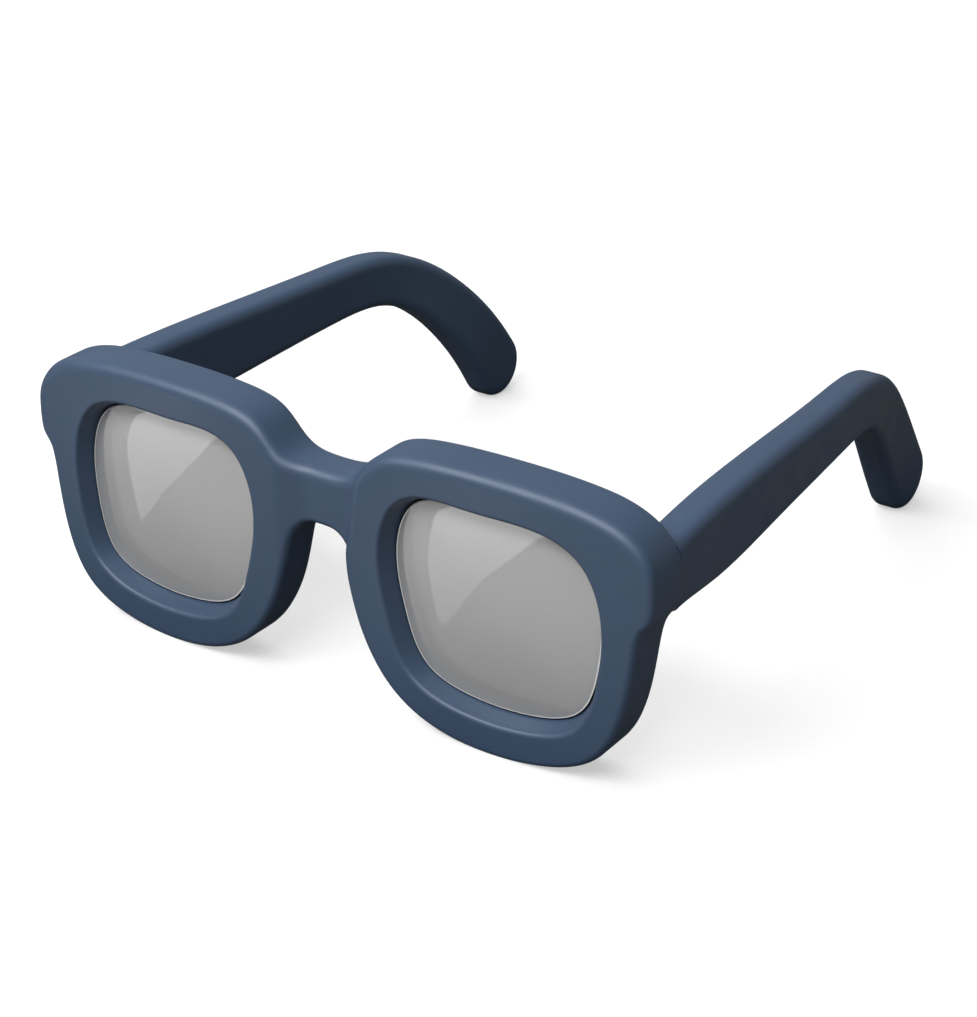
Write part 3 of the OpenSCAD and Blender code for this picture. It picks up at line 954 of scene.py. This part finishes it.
@dataclass
class Lens:
    """One lens: a gently domed front, a ground bevel, a tip in the groove and a hollow back."""

    side: Side
    plan: FrontPlan
    outline: LensOutline
    recess: float = 3.6
    thickness: float = 2.0
    bulge: float = 1.0
    face_inset: float = 0.50
    edge_gap: float = 0.26
    land_drop: float = 0.06
    side_drop: float = 0.42
    groove_depth: float = 1.1
    tip_clearance: float = 0.084
    tip_drop: float = 1.2
    tip_half: float = 0.7
    around: int = 180
    rings: int = 12
    # The swept black line of painted shade in the gap round the lens.
    line_radius: float = 0.15
    line_out: float = -0.075
    line_drop: float = 0.3
    line_around: int = 200
    line_sides: int = 8

    def front_point(self, angle: float, share: float, deep: float) -> Point:
        """A point on a domed face of the left lens, at a share of the way to its edge, which lies that deep."""
        place = (1 - share) * self.outline.centre + share * self.outline.edge(angle, -self.face_inset)
        return self.plan.behind(place, deep - self.bulge * (1 - share * share))

    def side_point(self, angle: float, out: float, deep: float) -> Point:
        """A point on the edge of the left lens."""
        return self.plan.behind(self.outline.edge(angle, out), deep)

    def build(
        self, glass: bpy.types.Material, ground: bpy.types.Material, shade: bpy.types.Material
    ) -> bpy.types.Object:
        """Builds and dresses the lens.

        Args:
            glass: The lens material.
            ground: The pale ground edge, partly a painted highlight, for the narrow land and the tip in the
                groove.
            shade: The black painted-shade material of the side above the tip.

        Returns:
            The finished piece, riding on the front.
        """
        shares = np.linspace(0, 1, self.rings + 1)[1:]
        angles = np.linspace(0, 360, self.around, endpoint=False)
        rings = [[self.front_point(a, share, self.recess) for a in angles] for share in shares]
        land = len(rings) - 1
        tip = self.groove_depth - self.tip_clearance
        middle = self.recess + self.tip_drop
        edge = (
            (-self.edge_gap, self.recess + self.land_drop),
            (-self.edge_gap, self.recess + self.side_drop),
            (tip, middle),
            (-self.edge_gap, middle + self.tip_half),
        )
        rings += [[self.side_point(a, out, deep) for a in angles] for out, deep in edge]
        back = self.recess + self.thickness
        rings += [[self.front_point(a, share, back) for a in angles] for share in shares[::-1]]
        points = [p for ring in rings for p in ring]
        per = self.around
        faces = strip_faces(len(rings), per, False)
        poles = [self.front_point(0, 0, self.recess), self.front_point(0, 0, back)]
        for k, start in enumerate((0, (len(rings) - 1) * per)):
            faces += [(len(points) + k, start + j, start + (j + 1) % per) for j in range(per)]
        lens = make_object(f"{self.side.word}_smoke_lens", np.array(points + poles) * self.side.flip, faces)
        wear(lens, glass, ground, shade)
        # The land and the tip take the pale ground edge, partly a painted highlight; the side above the tip takes
        # the black painted shade.
        finishes = {land + k: LensFace.SHADE if k == 1 else LensFace.GROUND for k in range(4)}
        for f in lens.data.polygons:
            ring = min(v // per for v in f.vertices if v < len(points))
            f.material_index = finishes.get(ring, LensFace.GLASS).value
        tidy_mesh(lens.data, False, Shading.CRISP)
        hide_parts(f"{self.side.word}_lens")
        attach(lens, "front")
        return lens

    def seat_line(self, tree: ShapeTree, finish: bpy.types.Material) -> bpy.types.Object:
        """Sweeps a black line of painted shade into the gap round the lens.

        Args:
            tree: The tree that sweeps a line.
            finish: Its material.

        Returns:
            The finished piece, riding on the front.
        """
        angles = np.linspace(0, 360, self.line_around, endpoint=False)
        path = [self.side_point(a, self.line_out, self.recess + self.line_drop) * self.side.flip for a in angles]
        line = make_object(f"{self.side.word}_lens_seat_line", path, [])
        line.data.edges.add(len(path))
        ends = [n for k in range(len(path)) for n in (k, (k + 1) % len(path))]
        line.data.edges.foreach_set("vertices", ends)
        tree.apply(line, Radius=self.line_radius * MM, Sides=self.line_sides, Material=finish)
        tidy_mesh(line.data, False, Shading.SOFT)
        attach(line, "front")
        return line


# ---- Temples ----


@dataclass
class Temple:
    """One temple: a bar with rounded long edges that runs back, bends down and ends in a round tip."""

    side: Side
    plan: FrontPlan
    edge_radius: float = 2.2
    steps: int = 12
    corner_stops: int = 8
    flank_stops: int = 6
    butt_roll: float = 0.5
    tip_start: float = 5.0
    tip_stops: int = 18

    def path(self) -> SplineRows:
        """The spline of the bar: x, y, z, half height and half thickness in each row."""
        wide, along = self.plan.half_width, self.plan.along
        rows = [
            [wide - 5, self.plan.butt, 40.2, 6.2, 3.9],
            [wide - 5 - self.plan.toe_in, along(self.plan.toe_row), 38.8, 8.4, 4],
            [wide - 8.1, along(57.5), 39.4, 7.1, 3.8],
            [wide - 9.2, along(81), 39.5, 6, 3.7],
            [wide - 10.6, along(98.5), 39.9, 5.7, 3.6],
            [wide - 13.4, along(111.3), 33.8, 5.9, 3.8],
            [wide - 16, along(122.2), 23.4, 6.5, 3.9],
            [wide - 17, along(129.8), 13.9, 7, 3.8],
            [wide - 17.1, along(134.4), 7.15, 7.4, 3.6],
        ]
        start = [2 * rows[0][0] - rows[1][0], 2 * rows[0][1] - rows[1][1], *rows[1][2:]]
        final = [2 * a - b for a, b in zip(rows[-1], rows[-2])]
        return SplineRows(np.array([start, *rows, final], dtype=float))

    def ring_plan(self) -> list[tuple[float, float, float, float]]:
        """Where the rings stand.

        Returns:
            Place along the spline, inset of the bar, shift along it and swing round the tip in
            radians, for each ring.
        """
        count = (len(self.path().rows) - 3) * self.steps
        roll = self.butt_roll
        turns = np.radians((0, 30, 60, 90))
        rings = [(0.0, roll * (1 - math.sin(a)), roll * (1 - math.cos(a)), 0.0) for a in turns]
        rings += [(i / self.steps, 0.0, 0.0, 0.0) for i in range(1, count + 1)]
        swings = np.radians(np.linspace(self.tip_start, 90, self.tip_stops))
        rings += [(count / self.steps, 0.0, 0.0, swing) for swing in swings]
        return rings

    def ring_seats(self) -> list[tuple[float, float, float, float]]:
        """Which corner each point of a ring belongs to.

        Returns:
            Side, up or down, share of the straight flank, and turn round the corner in radians.
        """
        turns = np.linspace(0, math.pi / 2, self.corner_stops)
        flank = np.linspace(0, 1, self.flank_stops + 1)[:-1]
        quarter = [(share, 0.0) for share in flank] + [(1.0, float(a)) for a in turns]
        lower = quarter[1:]
        runs = ((1.0, 1.0, quarter), (-1.0, 1.0, quarter[::-1]), (-1.0, -1.0, lower), (1.0, -1.0, lower[::-1]))
        return [(side, rise, share, turn) for side, rise, run in runs for share, turn in run]

    def build(self, tree: ShapeTree, finish: bpy.types.Material) -> bpy.types.Object:
        """Shapes the bar, carves the hinge pockets and dresses it.

        Args:
            tree: The tree that holds the bar's rule.
            finish: The plastic.

        Returns:
            The finished piece, riding on its own body.
        """
        path = self.path()
        names = ("centre", "high_way")
        numbers: dict[str, list] = {n: [] for n in (*names, "side", "half_high", "half_thick", "share", "turn")}
        seats, rings = self.ring_seats(), self.ring_plan()
        for t, inset, shift, swing in rings:
            row, slope = path.value(t), path.slope(t)
            up = np.array([0.0, -slope[2], slope[1]]) / np.hypot(slope[1], slope[2])
            ahead = np.array([0.0, up[2], -up[1]])
            centre = row[:3] + np.array([0.0, shift, 0.0])
            for side, rise, share, turn in seats:
                numbers["centre"].append(centre * MM)
                numbers["high_way"].append(rise * up * math.cos(swing) + ahead * math.sin(swing))
                numbers["side"].append(side)
                numbers["half_high"].append((row[3] - inset) * MM)
                numbers["half_thick"].append((row[4] - inset) * MM)
                numbers["share"].append(share)
                numbers["turn"].append(turn)
        per = len(seats)
        faces = strip_faces(len(rings), per, False) + [tuple(range(per))]
        bar = make_object(f"{self.side.word}_temple_arm", np.zeros((len(rings) * per, 3)), faces)
        for name, values in numbers.items():
            kind, key = ("FLOAT_VECTOR", "vector") if name in names else ("FLOAT", "value")
            made = bar.data.attributes.new(name, kind, "POINT")
            made.data.foreach_set(key, np.asarray(values, dtype=float).ravel())
        tree.apply(bar, Edge_Radius=self.edge_radius * MM, Material=finish)
        for name in filter(bar.data.attributes.get, numbers):
            bar.data.attributes.remove(bar.data.attributes[name])
        places = np.empty(len(bar.data.vertices) * 3)
        bar.data.vertices.foreach_get("co", places)
        places[2::3] = np.maximum(places[2::3], 0.0)
        bar.data.vertices.foreach_set("co", places)
        tidy_mesh(bar.data, True, Shading.SOFT)
        carve(bar, HingeSizes(self.plan).temple_pockets())
        bar.data.transform(Matrix.Diagonal((self.side.value, 1, 1, 1)))
        tidy_mesh(bar.data, False, Shading.CRISP)
        wear(bar, finish)
        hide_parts(f"{self.side.word}_temple")
        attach(bar, f"{self.side.word}_temple")
        return bar


# ---- Hinges ----


@dataclass(frozen=True)
class HingeSizes:
    """Sizes and places of the five-barrel hinge on the left side."""

    plan: FrontPlan
    pin_inset: float = 8.85
    barrel: float = 1.5
    barrel_height: float = 1.7
    barrel_gap: float = 0.1
    middle: float = 40.0
    plate: float = 1.1
    plate_margin: float = 0.3
    plate_inwards: float = 0.9
    plate_outwards: float = 6.4
    plate_clearance: float = 0.06
    plate_sink: float = 0.08
    turn_room: float = 0.3
    head: float = 0.6
    screw: float = 0.7
    front_rivet_x: float = 4.3
    front_rivet_z: float = 2.6
    temple_rivets: Span = (5.6, 10.6)
    leaf_end: float = 13.5
    leaf_inset: float = 8.8
    leaf_start: float = 0.01
    leaf_inwards: float = 4.5
    room_inwards: float = 4.0
    above_head: float = 0.1
    pocket_past: float = 2.0

    @property
    def pin_x(self) -> float:
        """x of the left pin."""
        return self.plan.half_width - self.pin_inset

    @property
    def pin_y(self) -> float:
        """y of the pins."""
        return self.plan.endpiece_back + self.barrel

    @property
    def stack(self) -> float:
        """Height of all the barrels together."""
        return 5 * self.barrel_height + 4 * self.barrel_gap

    @property
    def stack_bottom(self) -> float:
        """Height of the lowest barrel's underside."""
        return self.middle - self.stack / 2

    @property
    def plate_half(self) -> float:
        """Half height of the plates."""
        return self.stack / 2 + self.plate_margin

    @property
    def plate_back(self) -> float:
        """y of the back of the front plate."""
        return self.plan.endpiece_back - self.plate_sink

    @property
    def leaf_face(self) -> float:
        """Distance from the pin line to the leaf's showing face."""
        return self.plan.half_width - self.leaf_inset - self.pin_x

    @property
    def toe(self) -> float:
        """Angle of the temple's inner face, in radians."""
        return math.atan2(self.plan.toe_in, self.plan.along(self.plan.toe_row) - self.plan.butt)

    def about_pin(self, points: Sequence[Point]) -> list[Point]:
        """Turns points drawn about the pin, with true heights, into place along the temple."""
        c, s = math.cos(self.toe), math.sin(self.toe)
        turn, pin = np.array([[c, -s, 0], [s, c, 0], [0, 0, 1]]), np.array([self.pin_x, self.pin_y, 0])
        return [pin + turn @ p for p in points]

    def front_pocket(self) -> list[Point]:
        """Corners of the pocket for the left plate in the front."""
        room, half = self.plate_clearance, self.plate_half + self.plate_clearance
        low = (self.pin_x - self.plate_inwards - room, self.plate_back - self.plate - room, self.middle - half)
        high = (self.pin_x + self.plate_outwards + room, self.plate_back + self.pocket_past, self.middle + half)
        return box_points(low, high)

    def temple_pockets(self) -> list[list[Point]]:
        """Corners of the barrel room and of the leaf pocket in the left temple."""
        room, turn = self.plate_clearance, self.turn_room
        low = (self.pin_x - self.room_inwards, self.plan.butt - self.pocket_past, self.stack_bottom - turn)
        high = (
            self.pin_x + self.barrel + turn,
            self.pin_y + self.barrel + turn,
            self.stack_bottom + self.stack + self.head + turn + self.above_head,
        )
        flat = box_points(
            (-self.leaf_inwards, self.leaf_start, self.middle - self.plate_half - room),
            (self.leaf_face + self.plate + room, self.leaf_end + room, self.middle + self.plate_half + room),
        )
        return [box_points(low, high), self.about_pin(flat)]


@dataclass(frozen=True)
class Fastener:
    """A fastener turned about Z: radius and height of each step, and its driver slot if it has one."""

    name: str
    profile: tuple[Span, ...]
    slot_width: float = 0.0
    slot_depth: float = 0.28
    slot_reach: float = 3.0
    around: int = 24

    def build(self) -> bpy.types.Object:
        """Makes the fastener, standing on the origin."""
        angles = np.linspace(0, math.tau, self.around, endpoint=False)
        points = [np.array([r * math.cos(a), r * math.sin(a), z]) for r, z in self.profile for a in angles]
        last = len(points) - self.around
        faces = strip_faces(len(self.profile), self.around, False)
        faces += [tuple(reversed(range(self.around))), tuple(range(last, len(points)))]
        fastener = make_object(self.name, points, faces)
        tidy_mesh(fastener.data, False, Shading.CRISP)
        if self.slot_width:
            top, half, reach = self.profile[-1][1], self.slot_width / 2, self.slot_reach
            carve(fastener, [box_points((-reach, -half, top - self.slot_depth), (reach, half, top + reach))])
            tidy_mesh(fastener.data, False, Shading.CRISP)
        return fastener


@dataclass(frozen=True)
class FastenerRow:
    """Where fasteners of one kind stand on one body, how they are turned, and the CAD nodes they stand for."""

    name: str
    body: str
    slot: str
    places: Sequence[Point]
    facing: Sequence[Triple]
    nodes: Sequence[str]

    def build(self, source: bpy.types.Object, tree: ShapeTree, finish: bpy.types.Material) -> bpy.types.Object:
        """Puts a fastener at each place and keeps them as one piece.

        Args:
            source: The fastener.
            tree: The tree that repeats it.
            finish: Its steel.

        Returns:
            The finished piece, riding on its body.
        """
        piece = make_object(self.name, self.places, [])
        made = piece.data.attributes.new("facing", "FLOAT_VECTOR", "POINT")
        made.data.foreach_set("vector", np.asarray(self.facing, dtype=float).ravel())
        tree.apply(piece, Fastener=source, Material=finish)
        tidy_mesh(piece.data, False, Shading.CRISP)
        wear(piece, finish)
        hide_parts(*self.nodes)
        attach(piece, self.body)
        return piece


@dataclass
class HingeSet:
    """Both hinges: the CAD leaves in steel, with turned screws and rivets."""

    plan: FrontPlan
    screw_turn: float = 0.6
    screw_slot: float = 0.3
    screw_point: Span = (0.5, 0.15)
    neck_rise: float = 0.05
    screw_head: tuple[Span, ...] = ((1.1, 0.05), (1.25, 0.17), (1.25, 0.42), (1.16, 0.56), (0.95, 0.64))
    rivet_profile: tuple[Span, ...] = (
        (0.6, -4.2), (0.6, -0.6), (1.1, -0.03), (1.04, 0.0), (0.8, 0.03), (0.4, 0.05))
    sink: float = 0.02

    def rivet_rows(self, size: HingeSizes) -> list[FastenerRow]:
        """The rivets of the front and of each temple."""
        heads = [
            np.array([s.value * (size.pin_x + size.front_rivet_x), size.plate_back - self.sink, size.middle + z])
            for s in Side for z in (size.front_rivet_z, -size.front_rivet_z)
        ]
        nodes = [f"{s.word}_front_rivet_{end}" for s in Side for end in ("upper", "lower")]
        turns = [(-math.pi / 2, 0, 0)] * len(heads)
        rows = [FastenerRow("front_hinge_rivets", "front", "rivet", heads, turns, nodes)]
        for side in Side:
            flat = [np.array([size.leaf_face - self.sink, y, size.middle]) for y in size.temple_rivets]
            places = [p * side.flip for p in size.about_pin(flat)]
            turn = (0.0, -side.value * math.pi / 2, side.value * size.toe)
            nodes = [f"{side.word}_temple_rivet_{end}" for end in ("near", "far")]
            rows.append(FastenerRow(
                f"{side.word}_temple_hinge_rivets", f"{side.word}_temple", "rivet", places, [turn] * 2, nodes))
        return rows

    def build(self, steel: bpy.types.Material) -> list[bpy.types.Object]:
        """Dresses the leaves and cores, and sets screws and rivets.

        Args:
            steel: The steel.

        Returns:
            The new pieces.
        """
        for name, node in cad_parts.items():
            if name.endswith(("_leaf", "_core")):
                for place in node.material_slots:
                    place.material = steel
        size = HingeSizes(self.plan)
        tree = fastener_tree()
        point, taper = self.screw_point
        shank = ((point, 0.0), (size.screw, taper), (size.screw, size.stack + self.neck_rise))
        head = tuple((r, size.stack + z) for r, z in self.screw_head)
        screw = Fastener("screw_source", shank + head, slot_width=self.screw_slot).build()
        rivet = Fastener("rivet_source", self.rivet_profile).build()
        seats = [np.array([s.value * size.pin_x, size.pin_y, size.stack_bottom]) for s in Side]
        turns = [(0.0, 0.0, s.value * self.screw_turn) for s in Side]
        nodes = [f"{s.word}_hinge_screw" for s in Side]
        screws = FastenerRow("hinge_screws", "front", "screw", seats, turns, nodes)
        pieces = [screws.build(screw, tree, steel)]
        pieces += [row.build(rivet, tree, steel) for row in self.rivet_rows(size)]
        for source in (screw, rivet):
            bpy.data.objects.remove(source)
        return pieces


# ---- Studio ----


@dataclass(frozen=True)
class SoftBox:
    """A rectangular lamp that faces the object, level across its width."""

    name: str
    way: Triple
    distance: float
    size: Span
    power: float
    lights: bool = True
    mirrored: bool = True

    def build(self) -> None:
        """Hangs the lamp, which lights matt surfaces or shows in gloss, or both."""
        lamp = bpy.data.lights.new(self.name, "AREA")
        lamp.shape = "RECTANGLE"
        lamp.size, lamp.size_y = self.size
        lamp.energy = self.power
        thing = bpy.data.objects.new(self.name, lamp)
        bpy.context.scene.collection.objects.link(thing)
        way = Vector(self.way).normalized()
        thing.location = way * self.distance
        thing.rotation_euler = way.to_track_quat("Z", "Y").to_euler()
        thing.visible_diffuse, thing.visible_glossy = self.lights, self.mirrored


@dataclass(frozen=True)
class GlowPaper:
    """A lit card that shines less and less downwards."""

    name: str = "lens_reflection_card"
    top: float = 1.65
    bottom: float = 0.7
    heights: Span = (0.006, 0.036)

    def material(self) -> bpy.types.Material:
        """Makes the material."""
        work = Finish(self.name)
        level = work.remap(work.height(), self.heights, (self.bottom, self.top))
        return work.show(work.node("ShaderNodeEmission", {"Strength": level}).outputs["Emission"])


@dataclass(frozen=True)
class ReflectionCard:
    """A card in front of a lens, which shows only as the curved wedge of light mirrored in it."""

    name: str
    centre: Triple
    facing: Triple
    outline: tuple[Span, ...]
    steps: int = 5
    corner_rows: int = 3

    def build(self, paper: bpy.types.Material) -> None:
        """Cuts the card along a smooth curve with three sharp corners, and hangs it.

        Args:
            paper: Its material.
        """
        facing = np.array(self.facing)
        across = np.cross(facing, (0.0, 0.0, 1.0))
        across /= np.linalg.norm(across)
        up = np.cross(across, facing)
        tip = min(range(len(self.outline)), key=lambda k: self.outline[k][1])
        corners = (0, tip, len(self.outline) - 1)
        rows = [row for k, row in enumerate(self.outline) for _ in range(self.corner_rows if k in corners else 1)]
        curve = SplineRows(np.array(rows + rows[:3]))
        places = [curve.value(t) for t in np.arange(0, len(rows), 1 / self.steps)]
        points = [np.array(self.centre) + u * across + v * up for u, v in places]
        card = make_object(self.name, points, [tuple(range(len(points)))])
        wear(card, paper)
        card.visible_camera = card.visible_diffuse = card.visible_transmission = card.visible_shadow = False


@dataclass(frozen=True)
class Studio:
    """Floor, lamps, world and the camera at the photograph's angle."""

    turn: float = 0.60121
    tilt: float = 0.46551
    place: Triple = (0.252678, -0.382886, 0.240306)
    focal_pixels: float = 2482.777
    picture_height: float = 1017.0
    sensor: float = 36.0
    clip: Span = (0.01, 50.0)
    ambient: float = 0.256
    gloss_share: float = 0.146
    floor_half: float = 4000.0
    floor_drop: float = 0.02
    lamps: tuple[SoftBox, ...] = (
        SoftBox("key_softbox", (-0.12, -0.62, 0.72), 1.1, (1.25, 0.34), 14.8, mirrored=False),
        SoftBox("gloss_softbox", (-0.12, -0.62, 0.72), 1.15, (1.4, 0.75), 18.5, lights=False),
        SoftBox("top_softbox", (-0.5, 0.25, 1.0), 1.2, (1.2, 1.2), 10.5, mirrored=False),
    )
    cards: tuple[ReflectionCard, ...] = (
        ReflectionCard(
            name="left_lens_card",
            centre=(12.94, -97.01, 20.19),
            facing=(-0.4772, -0.7763, -0.4119),
            outline=(
                (0.2, 20.9), (4.9, 14.0), (8.5, 8.3), (10.6, 1.9), (10.8, -2.9), (10.4, -7.4), (9.3, -12.5),
                (7.8, -15.6), (4.4, -13.0), (0.0, -8.2), (-9.5, 1.7), (-15.6, 7.5), (-20.1, 12.4), (-23.5, 18.3),
            ),
        ),
        ReflectionCard(
            name="right_lens_card",
            centre=(-65.05, -91.66, 22.37),
            facing=(-0.6735, -0.6444, -0.362),
            outline=(
                (0.0, 21.0), (4.6, 14.1), (8.3, 8.9), (10.6, 2.8), (10.7, -1.3), (10.3, -5.7), (9.2, -11.7),
                (8.2, -15.4), (4.4, -12.3), (0.0, -7.4), (-7.6, 0.8), (-11.8, 5.5), (-15.3, 9.7), (-17.7, 14.5),
            ),
        ),
    )

    def camera(self) -> None:
        """Sets up the camera."""
        lens = bpy.data.cameras.new("photo_camera")
        lens.sensor_fit = "VERTICAL"
        lens.sensor_height = self.sensor
        lens.lens = self.sensor * self.focal_pixels / self.picture_height
        lens.clip_start, lens.clip_end = self.clip
        thing = bpy.data.objects.new("photo_camera", lens)
        bpy.context.scene.collection.objects.link(thing)
        thing.location = self.place
        thing.rotation_euler = (math.pi / 2 - self.tilt, 0.0, self.turn)
        bpy.context.scene.camera = thing

    def floor(self) -> None:
        """Lays the pale floor."""
        corners = ((-1, -1), (1, -1), (1, 1), (-1, 1))
        points = [np.array([x * self.floor_half, y * self.floor_half, -self.floor_drop]) for x, y in corners]
        sheet = make_object("studio_floor", points, [(0, 1, 2, 3)])
        wear(sheet, StudioPaper().material())

    def world(self) -> None:
        """Lights the surroundings: white to the camera and through glass, and less in gloss and as light."""
        around = bpy.data.worlds.new("pale_studio")
        around.use_nodes = True
        work = NodeWork(around.node_tree)
        work.tree.nodes.clear()
        path = work.node("ShaderNodeLightPath").outputs
        gloss = work.sum_up("MULTIPLY", path["Is Glossy Ray"], self.gloss_share)
        direct = work.sum_up("MAXIMUM", path["Is Camera Ray"], path["Is Transmission Ray"])
        seen = work.sum_up("MAXIMUM", direct, gloss)
        level = work.remap(seen, target=(self.ambient, 1.0))
        glow = work.node("ShaderNodeBackground", {"Color": (1.0, 1.0, 1.0, 1.0), "Strength": level})
        work.node("ShaderNodeOutputWorld", {"Surface": glow.outputs["Background"]})
        bpy.context.scene.world = around

    def build(self) -> None:
        """Sets up the whole studio."""
        bpy.context.scene.view_settings.view_transform = "Standard"
        self.floor()
        self.world()
        paper = GlowPaper().material()
        for card in self.cards:
            card.build(paper)
        for lamp in self.lamps:
            lamp.build()
        self.camera()


def main() -> None:
    """Builds the sunglasses piece by piece, then the studio."""
    logging.basicConfig(level=logging.INFO, format="%(name)s: %(message)s")
    plan, outline = FrontPlan(), LensOutline()
    plastic, steel = NAVY_PLASTIC.material(), HINGE_STEEL.material()
    # The ground edge is partly a painted highlight; the black gap line is painted shade.
    glass, ground, gap_shade = TintedLens().material(), GROUND_EDGE_AND_HIGHLIGHT.material(), PAINTED_GAP_SHADE.material()
    line, bar = swept_line_tree(), bar_tree()
    made = [FrontMoulding(plan, outline).build(plastic)]
    for side in Side:
        lens = Lens(side, plan, outline)
        # Each lens also gets a swept black line of painted shade in its gap.
        made += [lens.build(glass, ground, gap_shade), lens.seat_line(line, gap_shade)]
        made.append(Temple(side, plan).build(bar, plastic))
    made += HingeSet(plan).build(steel)
    for piece in made:
        log.info("%s: %d faces", piece.name, len(piece.data.polygons))
    Studio().build()


if __name__ == "__main__":
    main()
